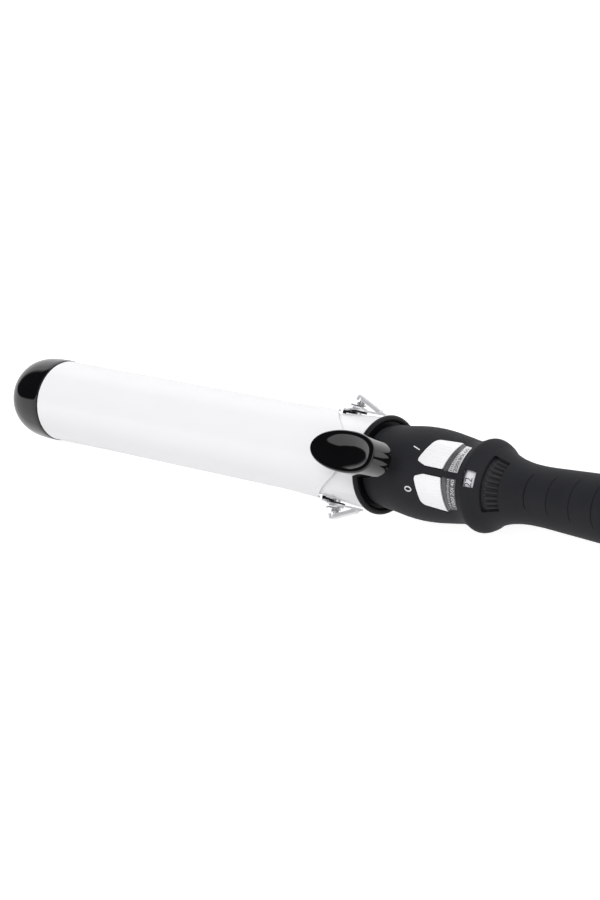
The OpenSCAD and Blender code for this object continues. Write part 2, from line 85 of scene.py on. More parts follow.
def ramp(nt, fac, stops):
    """Colours at positions from 0 to 1, blended between."""
    r = nt.nodes.new("ShaderNodeValToRGB")
    els = r.color_ramp.elements
    while len(els) < len(stops):
        els.new(0.5)
    for e, (p, c) in zip(els, stops):
        e.position = p
        e.color = (c[0], c[1], c[2], 1)
    nt.links.new(fac, r.inputs["Fac"])
    return r.outputs["Color"]


def spread(nt, fac, lo, hi):
    """The middle half of a noise, where most of it lies, spread from lo to hi."""
    m = nt.nodes.new("ShaderNodeMapRange")
    m.inputs["From Min"].default_value = 0.25
    m.inputs["From Max"].default_value = 0.75
    m.inputs["To Min"].default_value = lo
    m.inputs["To Max"].default_value = hi
    nt.links.new(fac, m.inputs["Value"])
    return m.outputs["Result"]


def bump(nt, bsdf, height, strength, distance):
    b = nt.nodes.new("ShaderNodeBump")
    b.inputs["Strength"].default_value = strength
    b.inputs["Distance"].default_value = distance
    nt.links.new(height, b.inputs["Height"])
    nt.links.new(b.outputs["Normal"], bsdf.inputs["Normal"])


def surface(name, colour, rough, metallic=0.0, vary=0.06, grain=900.0, grain_depth=0.0,
            stretch=(1, 1, 1), rough_vary=0.04, patch=60.0, coat=0.0, coat_rough=0.05,
            specular=0.5):
    """A moulded, coated or metal surface: slow colour variation, fine grain in the gloss
    and, with a grain depth in metres, in the relief."""
    m, nt, b = new_material(name)
    b.inputs["Metallic"].default_value = metallic
    b.inputs["Specular IOR Level"].default_value = specular
    b.inputs["Coat Weight"].default_value = coat
    b.inputs["Coat Roughness"].default_value = coat_rough
    v = coords(nt)
    slow = noise(nt, v, patch, 3.0)
    lo = [c * (1 - vary) for c in colour]
    hi = [min(1, c * (1 + vary)) for c in colour]
    nt.links.new(ramp(nt, slow, [(0.3, lo), (0.7, hi)]), b.inputs["Base Color"])
    fine = noise(nt, coords(nt, stretch), grain, 5.0, 0.6)
    nt.links.new(spread(nt, fine, max(0.01, rough - rough_vary), rough + rough_vary),
                 b.inputs["Roughness"])
    if grain_depth:
        bump(nt, b, fine, 0.35, grain_depth)
    return m


MAT = {
    "ceramic": surface("ceramic_white", (0.86, 0.86, 0.875), 0.30, vary=0.010, patch=25,
                       grain=1500, grain_depth=0.00002, rough_vary=0.03, coat=0.25,
                       coat_rough=0.2, specular=0.4),
    "sheet": surface("ceramic_sheet", (0.80, 0.80, 0.815), 0.34, vary=0.02, patch=60,
                     grain=1500, grain_depth=0.00002, specular=0.4),
    "gloss": surface("gloss_black", (0.0030, 0.0030, 0.0034), 0.05, vary=0.2, grain=500,
                     grain_depth=0.000003, rough_vary=0.02, coat=0.35, coat_rough=0.03),
    "cap": surface("cap_black", (0.0035, 0.0035, 0.0042), 0.08, vary=0.15, grain=700,
                   grain_depth=0.000004, rough_vary=0.02, coat=0.25, coat_rough=0.05),
    "moulded": surface("moulded_black", (0.005, 0.005, 0.006), 0.36, vary=0.15,
                       grain=1800, grain_depth=0.00002, specular=0.2),
    "wheel": surface("wheel_rubber", (0.034, 0.034, 0.037), 0.55, vary=0.15,
                     grain=2200, grain_depth=0.00003, specular=0.2),
    "soft": surface("soft_touch_black", (0.0195, 0.0202, 0.0230), 0.58, vary=0.08,
                    grain=2600, grain_depth=0.00003, rough_vary=0.05,
                    specular=0.10),
    "drum": surface("drum_white", (0.80, 0.80, 0.81), 0.4, metallic=0.1, vary=0.04,
                    grain=1200, grain_depth=0.00002),
    "button": surface("button_silver", (0.86, 0.86, 0.875), 0.3, metallic=0.1, vary=0.03,
                      grain=1100, grain_depth=0.00012, stretch=(0.04, 1, 1),
                      rough_vary=0.08, specular=0.35),
    "silver": surface("satin_silver", (0.78, 0.78, 0.80), 0.34, metallic=0.5, vary=0.05,
                      grain=1400, grain_depth=0.00003, stretch=(0.04, 1, 1),
                      rough_vary=0.08),
    "chrome": surface("chrome", (0.86, 0.86, 0.88), 0.2, metallic=0.85, vary=0.04,
                      grain=700, grain_depth=0.00001, rough_vary=0.05),
    "satin": surface("satin_steel", (0.84, 0.84, 0.86), 0.34, metallic=0.35, vary=0.05,
                     grain=900, grain_depth=0.00002, rough_vary=0.06),
    "wire": surface("spring_wire", (0.55, 0.55, 0.57), 0.22, metallic=1.0, vary=0.1,
                    grain=1200, grain_depth=0.00001),
    "zinc": surface("zinc_steel", (0.60, 0.60, 0.60), 0.32, metallic=1.0, vary=0.12,
                    grain=900, grain_depth=0.00002),
    "aluminium": surface("bare_aluminium", (0.75, 0.75, 0.76), 0.36, metallic=1.0,
                         grain=700, grain_depth=0.00003, stretch=(0.05, 1, 1)),
    "smoke": surface("smoke_lens", (0.085, 0.086, 0.090), 0.22, vary=0.35, patch=1600,
                     grain=1600, grain_depth=0.00004, coat=0.3, coat_rough=0.1),
    "dusk": surface("dusk_strip", (0.085, 0.085, 0.095), 0.3, vary=0.2, patch=500,
                    grain=1400, grain_depth=0.00002),
    "nylon": surface("glass_nylon", (0.09, 0.09, 0.095), 0.5, vary=0.15, grain=1500,
                     grain_depth=0.00003),
    "board": surface("board_green", (0.02, 0.16, 0.06), 0.35, vary=0.25, patch=400,
                     grain=1500, grain_depth=0.00003, coat=0.3),
    "alumina": surface("alumina", (0.70, 0.66, 0.58), 0.55, vary=0.08, grain=2000,
                       grain_depth=0.00003),
    "bead": surface("glass_bead", (0.55, 0.20, 0.04), 0.12, vary=0.2),
    "sleeve": surface("glass_sleeve", (0.70, 0.70, 0.67), 0.6, vary=0.1, grain=3000,
                      grain_depth=0.00006, stretch=(0.3, 1, 1)),
    "lead": surface("brown_lead", (0.12, 0.045, 0.02), 0.4, vary=0.12),
    "amber": surface("amber_film", (0.55, 0.30, 0.05), 0.2, vary=0.1),
    "red": surface("red_lens", (0.55, 0.02, 0.015), 0.15, vary=0.1),
    "brass": surface("sprung_brass", (0.72, 0.50, 0.20), 0.28, metallic=1.0, vary=0.08,
                     grain=900, grain_depth=0.00002, stretch=(0.1, 1, 1)),
    "resistor": surface("resistor_track", (0.10, 0.05, 0.025), 0.5, vary=0.2),
    "print_white": surface("print_white", (0.72, 0.72, 0.73), 0.45, vary=0.05),
    "print_dark": surface("print_dark", (0.02, 0.02, 0.022), 0.45, vary=0.1),
    "chip": surface("chip_black", (0.02, 0.02, 0.02), 0.45, vary=0.15, grain=2500,
                    grain_depth=0.00003),
}

glass, nt, b = new_material("clear_window")
b.inputs["Base Color"].default_value = (0.95, 0.95, 0.96, 1)
b.inputs["Transmission Weight"].default_value = 1.0
b.inputs["IOR"].default_value = 1.08
fac = noise(nt, coords(nt), 500, 2)
nt.links.new(spread(nt, fac, 0.0, 0.012), b.inputs["Roughness"])
MAT["clear"] = glass

# What each solid is made of
CAD_FINISH = {
    "tip_cap": "cap", "barrel_tube": "ceramic", "heat_spreader_upper": "aluminium",
    "heat_spreader_lower": "aluminium", "ceramic_heater": "alumina", "thermistor": "bead",
    "thermal_fuse": "zinc", "heater_leads": "sleeve", "base_insulator": "nylon",
    "barrel_screws": "zinc", "collar": "moulded", "hinge_saddle": "sheet",
    "pivot_rivet_left": "chrome", "pivot_rivet_right": "chrome",
    "hinge_spring_left": "wire", "hinge_spring_right": "wire", "clamp_plate": "ceramic",
    "hinge_wing_left": "satin", "hinge_wing_right": "satin", "thumb_lever": "gloss",
    "lever_screws": "zinc", "handle_shell_upper": "soft", "handle_shell_lower": "soft",
    "handle_screws": "zinc", "on_button": "button", "off_button": "button",
    "on_button_spring": "wire", "off_button_spring": "wire", "on_switch": "nylon",
    "off_switch": "nylon", "control_board": "board", "triac": "chip",
    "capacitor": "amber", "indicator_leds": "red", "scale_strip": "silver",
    "scale_lens": "smoke", "number_lens": "clear", "thumbwheel": "wheel",
    "number_drum": "silver", "wiper_contact": "brass", "rheostat_ring": "resistor",
    "wheel_sleeve": "nylon", "mains_leads": "lead", "brush_holder": "nylon",
    "brush_contacts": "brass", "contact_rings": "brass", "cord_swivel": "moulded",
}
for name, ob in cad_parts.items():
    ob.data.materials.clear()
    ob.data.materials.append(MAT[CAD_FINISH[name]])


# ---- Mesh helpers --------------------------------------------------------------------

def link(name, data):
    """A new object with the data, in the scene."""
    ob = bpy.data.objects.new(name, data)
    bpy.context.scene.collection.objects.link(ob)
    return ob


def make(name, verts, faces, mat, body=None, slot=None, smooth=True):
    """A mesh object from points in millimetres, attached to the body if one is given; cutters
    and blanks need none. The slot is not used.
    """
    me = bpy.data.meshes.new(name)
    me.from_pydata([P(*v) for v in verts], [], faces)
    bm = bmesh.new()
    bm.from_mesh(me)
    bmesh.ops.remove_doubles(bm, verts=bm.verts, dist=1e-7)
    bmesh.ops.recalc_face_normals(bm, faces=bm.faces)
    bm.to_mesh(me)
    bm.free()
    me.materials.append(MAT[mat])
    ob = link(name, me)
    if smooth:
        shade(ob)
    if body:
        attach(ob, body)
    return ob


def object_from(name, bm, mats):
    """An object from a bmesh, which is freed."""
    me = bpy.data.meshes.new(name)
    bm.to_mesh(me)
    bm.free()
    for mat in mats:
        me.materials.append(mat)
    return link(name, me)


def shade(ob, angle=35):
    """Smooth faces, with edges of more than the angle kept sharp."""
    me = ob.data
    me.polygons.foreach_set("use_smooth", [True] * len(me.polygons))
    bm = bmesh.new()
    bm.from_mesh(me)
    lim = math.radians(angle)
    for e in bm.edges:
        e.smooth = len(e.link_faces) == 2 and e.calc_face_angle(0) < lim
    bm.to_mesh(me)
    bm.free()


def apply_modifiers(ob):
    bpy.context.view_layer.update()
    dg = bpy.context.evaluated_depsgraph_get()
    me = bpy.data.meshes.new_from_object(ob.evaluated_get(dg))
    old = ob.data
    ob.modifiers.clear()
    ob.data = me
    bpy.data.meshes.remove(old)


def drop(*obs):
    for o in obs:
        bpy.data.objects.remove(o, do_unlink=True)


def carve(ob, mat, *parts, op="DIFFERENCE"):
    """Cuts closed (verts, faces) parts out of an object, or keeps only what is in them."""
    verts, faces = [], []
    for part_verts, part_faces in parts:
        first = len(verts)
        verts += part_verts
        faces += [tuple(i + first for i in face) for face in part_faces]
    cutter = make("cutter", verts, faces, mat, smooth=False)
    m = ob.modifiers.new("cut", "BOOLEAN")
    m.operation = op
    m.solver = "EXACT"
    m.object = cutter
    apply_modifiers(ob)
    drop(cutter)


def around(t, r, a):
    """The point at station t, r from the axis, turned by a from the top towards +Y."""
    return (t, r * math.sin(a), r * math.cos(a))


def rings_mesh(rings, capped=True):
    """Faces from each ring of points to the next, and over the two end rings."""
    m = len(rings[0])
    verts = [v for r in rings for v in r]
    faces = []
    for i in range(len(rings) - 1):
        for j in range(m):
            a, b = i * m + j, i * m + (j + 1) % m
            faces.append((a, b, b + m, a + m))
    if capped:
        faces.append(tuple(range(m - 1, -1, -1)))
        faces.append(tuple(range((len(rings) - 1) * m, len(rings) * m)))
    return verts, faces


def revolve(profile, n):
    """A solid of revolution about the barrel axis from [t, radius] points. A profile that
    comes back to its first point is closed by itself."""
    rings = [[around(t, max(r, 0.001), 2 * math.pi * k / n) for k in range(n)]
             for t, r in profile]
    return rings_mesh(rings, profile[0] != profile[-1])


def prism(points, z0, z1):
    """A plan outline raised from z0 to z1."""
    n = len(points)
    verts = [(x, y, z0) for x, y in points] + [(x, y, z1) for x, y in points]
    faces = [tuple(range(n - 1, -1, -1)), tuple(range(n, 2 * n))]
    faces += [(k, (k + 1) % n, n + (k + 1) % n, n + k) for k in range(n)]
    return verts, faces


def block(x0, x1, half_width, z0, z1):
    return prism([(x0, -half_width), (x1, -half_width), (x1, half_width), (x0, half_width)],
                 z0, z1)


def fillet_arc(before, corner, after, r, reach, steps):
    """The arc that rounds a corner; it takes at most the share reach of either side."""
    a, b = before - corner, after - corner
    half = a.angle(b) / 2
    d = min(r / math.tan(half), a.length * reach, b.length * reach)
    r = d * math.tan(half)
    a.normalize()
    b.normalize()
    c = corner + (a + b).normalized() * (r / math.sin(half))
    s, e = corner + a * d - c, corner + b * d - c
    turn = s.angle_signed(e)
    arc = []
    for k in range(steps + 1):
        q = -turn * k / steps
        arc.append((c.x + s.x * math.cos(q) - s.y * math.sin(q),
                    c.y + s.x * math.sin(q) + s.y * math.cos(q)))
    return arc


def rounded(points, radii, steps=6):
    """A polygon with its corners rounded by arcs: one radius, or a list of one for each."""
    n = len(points)
    if not isinstance(radii, list):
        radii = [radii] * n
    corners = [Vector(p) for p in points]
    out = []
    for i, r in enumerate(radii):
        out += fillet_arc(corners[i - 1], corners[i], corners[(i + 1) % n], r, 0.49, steps)
    return out


def on_side(points, side):
    """An outline as given for side 1, or mirrored in y for side -1."""
    return points if side > 0 else [(x, -y) for x, y in reversed(points)]


def span(a, b, step):
    """Stations from a up to b, both included, in even steps of about the given size."""
    n = max(1, int(round((b - a) / step)))
    return [a + (b - a) * k / n for k in range(n + 1)]


def ease(u):
    """Zero below 0, one above 1 and a smooth step between."""
    v = min(max(u, 0), 1)
    return v * v * (3 - 2 * v)


# ---- Handle profile ------------------------------------------------------------------

# The handle's radius at stations from the collar to the cord end
STATIONS = [(206, 17.3), (210, 18.2), (216, 18.8), (224, 19.8), (231, 20.1), (238, 19.7),
            (246, 18.65), (252, 17.8), (255, 18), (258, 18.9), (261, 20), (264, 19),
            (267, 16.9), (270, 15.4), (275, 13.8), (282, 12.7), (290, 12.5),
            (300, 12.95), (312, 13.55), (330, 14.4), (345, 14.6), (354, 14.1), (358, 13),
            (360, 11.4)]


def handle_r(x):
    """The handle's radius at x, a smooth curve through the stations."""
    s = STATIONS
    x = min(max(x, s[0][0]), s[-1][0])
    i = 0
    while i < len(s) - 2 and x > s[i + 1][0]:
        i += 1

    def slope(k):
        a, b = s[max(k - 1, 0)], s[min(k + 1, len(s) - 1)]
        return (b[1] - a[1]) / (b[0] - a[0])
    p, q = s[i], s[i + 1]
    h = q[0] - p[0]
    u = (x - p[0]) / h
    return (p[1] * (1 + 2 * u) * (1 - u) ** 2 + slope(i) * h * u * (1 - u) ** 2
            + q[1] * u * u * (3 - 2 * u) + slope(i + 1) * h * u * u * (u - 1))


def over_plan(x, y, h):
    """The point over the plan position (x, y), h above the handle's surface."""
    r = handle_r(x) + h
    return (x, y, math.sqrt(max(r * r - y * y, 0.01)))


EDGE_STEPS = 4      # steps of a plate's rounded edge
PLATE_CELL = 0.9    # cells that let a plate bend over the handle


def plan_plate(name, points, mat, body, top, depth, fillet):
    """A thin part that follows the handle's surface over a plan outline, round-edged: its
    face stands top above the surface and its underside lies depth below."""
    bm = bmesh.new()
    face = bm.faces.new([bm.verts.new((x, y, 0)) for x, y in points])
    bm.normal_update()
    if face.normal.z < 0:
        face.normal_flip()
    lay = bm.verts.layers.float.new("drop")
    for v in bm.verts:
        v[lay] = fillet
    for k in range(EDGE_STEPS):
        a0, a1 = math.pi / 2 * k / EDGE_STEPS, math.pi / 2 * (k + 1) / EDGE_STEPS
        inset = fillet * ((1 - math.cos(a1)) - (1 - math.cos(a0)))
        bmesh.ops.inset_region(bm, faces=[face], thickness=inset, use_even_offset=True)
        for v in face.verts:
            v[lay] = fillet * (1 - math.sin(a1))
    for along, values in zip((Vector((1, 0, 0)), Vector((0, 1, 0))), zip(*points)):
        k = min(values) + PLATE_CELL
        while k < max(values):
            bmesh.ops.bisect_plane(bm, geom=bm.verts[:] + bm.edges[:] + bm.faces[:],
                                   plane_co=along * k, plane_no=along, dist=1e-5)
            k += PLATE_CELL
    bmesh.ops.triangulate(bm, faces=[f for f in bm.faces if len(f.verts) > 4])
    ret = bmesh.ops.extrude_face_region(bm, geom=bm.faces[:])
    low = {g for g in ret["geom"] if isinstance(g, bmesh.types.BMVert)}
    for v in bm.verts:
        v.co = P(*over_plan(v.co.x, v.co.y, -depth if v in low else top - v[lay]))
    bmesh.ops.recalc_face_normals(bm, faces=bm.faces)
    ob = object_from(name, bm, [MAT[mat]])
    shade(ob, 40)
    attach(ob, body)
    return ob


# ---- Handle shells -------------------------------------------------------------------

WALL, THIN_WALL = 2.2, 0.95     # the wall is thin over the drum and the thumbwheel
SEAT_R, CORD_R = 14.05, 7.06    # the bore round the base insulator, the hole at the cord
SEAM = 0.04                     # half the gap of the parting line
RECESS_R = 2.8                  # a screw recess

outer = [(x, handle_r(x)) for x in span(206, 254, 0.8)[:-1] + span(254, 276, 0.5)[:-1]
         + span(276, 352, 1.6)[:-1] + span(352, 360, 0.5)]
inner_wall = [(x, handle_r(x) - WALL) for x in (355, 340, 320, 300, 288, 282, 278.4)]
inner_wall += [(x, handle_r(x) - THIN_WALL) for x in reversed(span(258.2, 276.4, 1.2))]
inner_wall += [(x, handle_r(x) - WALL) for x in (256.2, 250, 244, 236, 228, 220, 214, 210)]
profile = (outer + [(360, CORD_R), (355, CORD_R)] + inner_wall
           + [(210, SEAT_R), (206, SEAT_R)])
shell = make("shell_blank", *revolve(profile + [profile[0]], 176), "soft")


def button_plan(g):
    """The on button's plan outline, grown by the gap g."""
    return [(240.3, 1.8 - g), (248.5 + g, 1.8 - g), (250.7 + g, 14.6 + g),
            (240.6, 14 + g), (239.1 - g, 13.0 + g * 0.5), (236.2 - g, 4.2),
            (236.6 - g, 3.2)]


BUTTON_RADII = [0.6, 0.35, 0.5, 3.6, 2.4, 1.2, 0.5]
BUTTON_GAP = 0.35
openings = [prism(on_side(rounded(button_plan(BUTTON_GAP), BUTTON_RADII), side), 5, 30)
            for side in (1, -1)]
number_window = [(261, -3.6), (265.5, -3.3), (265.5, 3.3), (261, 3.6)]
openings.append(prism(rounded(number_window, 0.3), 8, 30))
wheel_window = [(267.7, -12.1), (275.2, -10.1), (275.2, 10.1), (267.7, 12.1)]
openings.append(prism(rounded(wheel_window, 0.5), 5, 30))
carve(shell, "soft", *openings)


def groove_cutter(t0, half):
    """A thin finger groove whose ends curl towards the cord, half degrees to each side."""
    rings = []
    steps = 56
    for k in range(steps + 1):
        u = 2 * k / steps - 1
        a = math.radians(half * u)
        t = t0 + 1.3 * abs(u) ** 3
        taper = min(1, (1 - abs(u)) / 0.12 + 0.02)
        w, d = 0.34 * (0.35 + 0.65 * taper), 0.5 * taper
        rings.append([around(t + dt, handle_r(t) + dr, a) for dt, dr in
                      ((-w, 0.6), (w, 0.6), (w * 0.9, 0), (0, -d), (-w * 0.9, 0))])
    return rings_mesh(rings)


carve(shell, "soft", *[groove_cutter(287 + 11.3 * k, 38 + 1.2 * k) for k in range(6)])

for name, z0, z1 in (("handle_upper", SEAM, 40), ("handle_lower", -40, -SEAM)):
    half = link(name, shell.data.copy())
    carve(half, "soft", block(190, 380, 40, z0, z1), op="INTERSECT")
    if name == "handle_lower":
        carve(half, "soft", *[prism([(x + RECESS_R * math.cos(math.pi * k / 16),
                                      y + RECESS_R * math.sin(math.pi * k / 16))
                                     for k in range(32)], -30, -6)
                              for x, y in ((254.4, 11.5), (254.4, -11.5), (296, 0), (328, 0))])
    bm = bmesh.new()
    bm.from_mesh(half.data)
    bmesh.ops.triangulate(bm, faces=[f for f in bm.faces if len(f.verts) > 12],
                          ngon_method="EAR_CLIP")
    bm.to_mesh(half.data)
    bm.free()
    shade(half, 30)
    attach(half, "handle")
    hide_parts("handle_shell_upper" if z0 > 0 else "handle_shell_lower")
drop(shell)

# ---- Buttons, scale and marks --------------------------------------------------------

for side, body in ((1, "on_button"), (-1, "off_button")):
    pts = on_side(rounded(button_plan(0), BUTTON_RADII), side)
    ob = plan_plate(body + "_cap", pts, "button", body, top=0.35, depth=2.4,
                    fillet=0.45)
    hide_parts(body)

scale_plan = [(251.3, 1.4), (256.7, 1.4), (257.2, 13.2), (253, 13.6)]
lens_plan = [(249.1, 1.4), (251.1, 1.4), (252.8, 13.6), (251.1, 14.2)]


def join(name, obs):
    """One object from several meshes, each keeping its own material."""
    bm = bmesh.new()
    mats = []
    for ob in obs:
        start = len(bm.faces)
        bm.from_mesh(ob.data)
        bm.faces.ensure_lookup_table()
        mat = ob.data.materials[0]
        if mat not in mats:
            mats.append(mat)
        for f in bm.faces[start:]:
            f.material_index = mats.index(mat)
    ob = object_from(name, bm, mats)
    drop(*obs)
    return ob


for name, plan, top, mats, slot, node in (
        ("scale_plates", scale_plan, 0.05, ("silver", "dusk"), "satin_silver", "scale_strip"),
        ("light_bands", lens_plan, 0.02, ("smoke", "smoke"), "smoke_lens", "scale_lens")):
    pts = rounded(plan, 0.4)
    ob = join(name, [plan_plate(name + word, on_side(pts, side), mat, "handle", top=top,
                                depth=0.5, fillet=0.12)
                     for word, side, mat in zip(("_left", "_right"), (1, -1), mats)])
    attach(ob, "handle")
    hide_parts(node)


def wrap_text(name, text, t, phi, size, mat, body, radius, lift):
    """Plain digits laid on a round surface, phi degrees from the top: they read towards
    +phi, with their tops towards -t."""
    cu = bpy.data.curves.new(name, "FONT")
    cu.body = text
    cu.size = size
    cu.align_x = "CENTER"
    cu.align_y = "CENTER"
    cu.resolution_u = 3
    tmp = link(name + "_text", cu)
    bpy.context.view_layer.update()
    dg = bpy.context.evaluated_depsgraph_get()
    me = bpy.data.meshes.new_from_object(tmp.evaluated_get(dg))
    drop(tmp)
    bpy.data.curves.remove(cu)
    bm = bmesh.new()
    bm.from_mesh(me)
    bmesh.ops.remove_doubles(bm, verts=bm.verts, dist=1e-4)
    for v in bm.verts:
        tt = t - v.co.y
        r = radius(tt) + lift
        v.co = P(*around(tt, r, math.radians(phi) + v.co.x / r))
    bm.to_mesh(me)
    bm.free()
    me.materials.append(MAT[mat])
    ob = link(name, me)
    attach(ob, body)
    return ob


def stroke(name, path, width, mat, lift, slot):
    """A painted line along [t, phi] points on the handle."""
    verts = []
    pts = [(t, math.radians(a)) for t, a in path]
    for i, (t, a) in enumerate(pts):
        t0, a0 = pts[max(i - 1, 0)]
        t1, a1 = pts[min(i + 1, len(pts) - 1)]
        r = handle_r(t)
        d = Vector((t1 - t0, (a1 - a0) * r)).normalized()
        n = Vector((-d.y, d.x)) * width / 2
        for s in (1, -1):
            tt = t + n.x * s
            verts.append(around(tt, handle_r(tt) + lift, a + n.y * s / r))
    faces = [(2 * i, 2 * i + 1, 2 * i + 3, 2 * i + 2) for i in range(len(pts) - 1)]
    return make(name, verts, faces, mat, "handle", slot)


MARK_LIFT, SCALE_LIFT = 0.03, 0.075     # print over the handle, print over the scales

# I and 0 by the buttons
stroke("mark_on", [(231.0 + 0.47 * k, 26.6 - 0.42 * k) for k in range(9)], 0.5, "print_white",
       MARK_LIFT, "satin_silver")
oval = [(233.1 + 1.55 * math.cos(2 * math.pi * k / 32),
         -27 + 2.75 * math.sin(2 * math.pi * k / 32)) for k in range(33)]
stroke("mark_off", oval, 0.55, "print_white", MARK_LIFT, "satin_silver")


def scale_bow(phi):
    """How far the scales bend towards the cord at phi degrees."""
    return 0.0011 * abs(phi) ** 1.7


# Fine ticks and plain numbers on the scales
for side, word, mat, texts in ((1, "left", "print_dark", ("200", "180", "160")),
                               (-1, "right", "print_white", ("140", "120", "100"))):
    for k in range(15):
        phi = side * (6.5 + 2.75 * k)
        start, length = (251.75, 1.3) if k % 3 == 0 else (252.0, 0.8)
        start += scale_bow(phi)
        stroke("tick_%s_%02d" % (word, k), [(start, phi), (start + length, phi)], 0.22, mat,
               SCALE_LIFT, "black_plastic")
    for k, text in enumerate(texts):
        phi = side * (12 + 12.5 * k)
        wrap_text("number_%s_%d" % (word, k), text, t=254.9 + scale_bow(phi), phi=phi,
                  size=2.9, mat=mat, body="handle", radius=handle_r, lift=SCALE_LIFT)

# ---- Tip cap -------------------------------------------------------------------------

CAP_HOLLOW, CAP_SPIGOT = 15, 17.25      # radii inside, and of the part within the tube
DOME_STEPS = 64
cap_lo, cap_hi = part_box("tip_cap")
cap_r = (cap_hi[1] - cap_lo[1]) / 2 / MM
cap_len = (T0 - cap_lo[0]) / MM
profile = [(-cap_len * math.cos(math.pi / 2 * k / DOME_STEPS) ** 0.57,
            cap_r * math.sin(math.pi / 2 * k / DOME_STEPS)) for k in range(DOME_STEPS)]
profile += [(-1.2, cap_r - 0.02), (-0.5, cap_r - 0.16), (-0.12, cap_r - 0.3),
            (0, cap_r - 0.5), (0, CAP_SPIGOT), (8, CAP_SPIGOT), (8, CAP_HOLLOW),
            (-18, CAP_HOLLOW), (-20, 0)]
verts, faces = revolve(profile, 192)
cap = make("tip_cap_shell", verts, faces, "cap", "handle", "black_plastic")
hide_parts("tip_cap")

# ---- Clamp plate ---------------------------------------------------------------------

PIVOT = 183.0                   # station of the hinge axis
RI, SHEET = 18.65, 0.85         # the sheet's inner radius and thickness
FLARE = 0.65                    # how far the ears stand out
RISE, TONGUE = 8.6, 222.5       # height and end of the tongue under the lever
ARC_STEPS = 72


def lookup(x, table):
    """The value at x on straight lines through a table of (x, value)."""
    if x <= table[0][0]:
        return table[0][1]
    for (x0, y0), (x1, y1) in zip(table, table[1:]):
        if x <= x1:
            return y0 + (y1 - y0) * (x - x0) / (x1 - x0)
    return table[-1][1]


def half_angle(x):
    """Degrees from the top to the sheet's edge."""
    return lookup(x, [(173.9, 86), (174.4, 80), (182.3, 53), (189.3, 36), (195.5, 24),
                      (199, 21), (219.5, 20), (221.5, 16), (222.5, 9)])


def rise(x):
    """How far the tongue climbs away from the barrel, with rounded bends."""
    table = [(183, 0), (192, 1.6), (200, RISE), (222.5, RISE)]
    return sum(lookup(x + 2.2 * (k - 3) / 3, table) for k in range(7)) / 7


def sheet_r(x, a):
    """The sheet's inner radius at a degrees from the top."""
    return (RI + FLARE * ease((x - 150) / 25) * ease((abs(a) - 28) / 32)
            * ease((195 - x) / 10))


def clamp_section(x, inset=0.0):
    """One section of the sheet with round edges: out along the top, back underneath."""
    w = half_angle(x)
    tip = w + math.degrees(0.3 / 19)
    lift = rise(x)

    def at(r, a):
        t, y, z = around(x, r, math.radians(a))
        return (t, y, z + lift)

    angles = [w * (2 * k / ARC_STEPS - 1) for k in range(ARC_STEPS + 1)]
    tip_r = sheet_r(x, tip) + SHEET / 2
    return ([at(sheet_r(x, a) + SHEET - inset, a) for a in angles] + [at(tip_r, tip)]
            + [at(sheet_r(x, a) + inset, a) for a in reversed(angles)] + [at(tip_r, -tip)])


xs = ([0.75, 1.0] + span(2, 146, 8) + span(147, 173.9, 1.2) + [174.4]
      + span(175, 222.2, 0.6) + [222.5])
rings = [clamp_section(0.6, 0.25)] + [clamp_section(x) for x in xs]
verts, faces = rings_mesh(rings, False)
m = len(rings[0])
for base in (0, (len(rings) - 1) * m):
    for k in range(ARC_STEPS):
        faces.append((base + k, base + k + 1, base + m - 3 - k, base + m - 2 - k))
    faces.append((base + ARC_STEPS, base + ARC_STEPS + 1, base + ARC_STEPS + 2))
    faces.append((base, base + m - 2, base + m - 1))
clamp = make("clamp_shell", verts, faces, "ceramic", "clamp", "white_ceramic")
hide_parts("clamp_plate")

# ---- Thumb lever ---------------------------------------------------------------------

FRONT, BACK = Vector((187.0, 32.0)), Vector((228.8, 40.4))      # ends of the sloping face
TILT = (BACK.y - FRONT.y) / (BACK.x - FRONT.x)
LEVER_HALF = 9.0        # half width
LEVER_FLOOR = 26.8      # height of the underside
LEVER_MID = 210.4       # station of the widest place and the bowl's middle
ROUND = 0.8             # radius of the face's edge


def blunt(v, ca):
    """Squares off the rear half of an oval's cosine or sine."""
    return math.copysign(abs(v) ** 0.82, v) if ca > 0 else v


def lever_outline(s, a, shrink=0.0):
    """The hull's plan at the height share s: 1 is the face, 0 the floor, where the front
    end has drawn back."""
    x0 = FRONT.x + (199.5 - FRONT.x) * (1 - s)
    ca, sa = math.cos(a), math.sin(a)
    half = (BACK.x - LEVER_MID if ca > 0 else LEVER_MID - x0) - shrink
    return LEVER_MID + half * blunt(ca, ca), (LEVER_HALF - shrink) * blunt(sa, ca)


def dish_outline(a, q):
    """The bowl's plan at the share q of its size."""
    ca, sa = math.cos(a), math.sin(a)
    half = 15.9 if ca > 0 else 19.4
    return LEVER_MID + half * q * blunt(ca, ca), 7.2 * q * blunt(sa, ca)


def dish_depth(a, q):
    """The bowl has a crisp edge at the rear and fades into the face towards the front."""
    rear = ease((math.cos(a) + 0.75) / 1.2)
    return 1.9 * (rear * (1 - q ** 2.4) + (1 - rear) * (1 - q * q) ** 1.6)


def face_z(x):
    """Height of the sloping face."""
    return FRONT.y + (x - FRONT.x) * TILT


def floor_z(x):
    """Height of the underside, which lifts a little at the rear end."""
    return LEVER_FLOOR + max(0.0, (x - 223) / 9) * 1.4


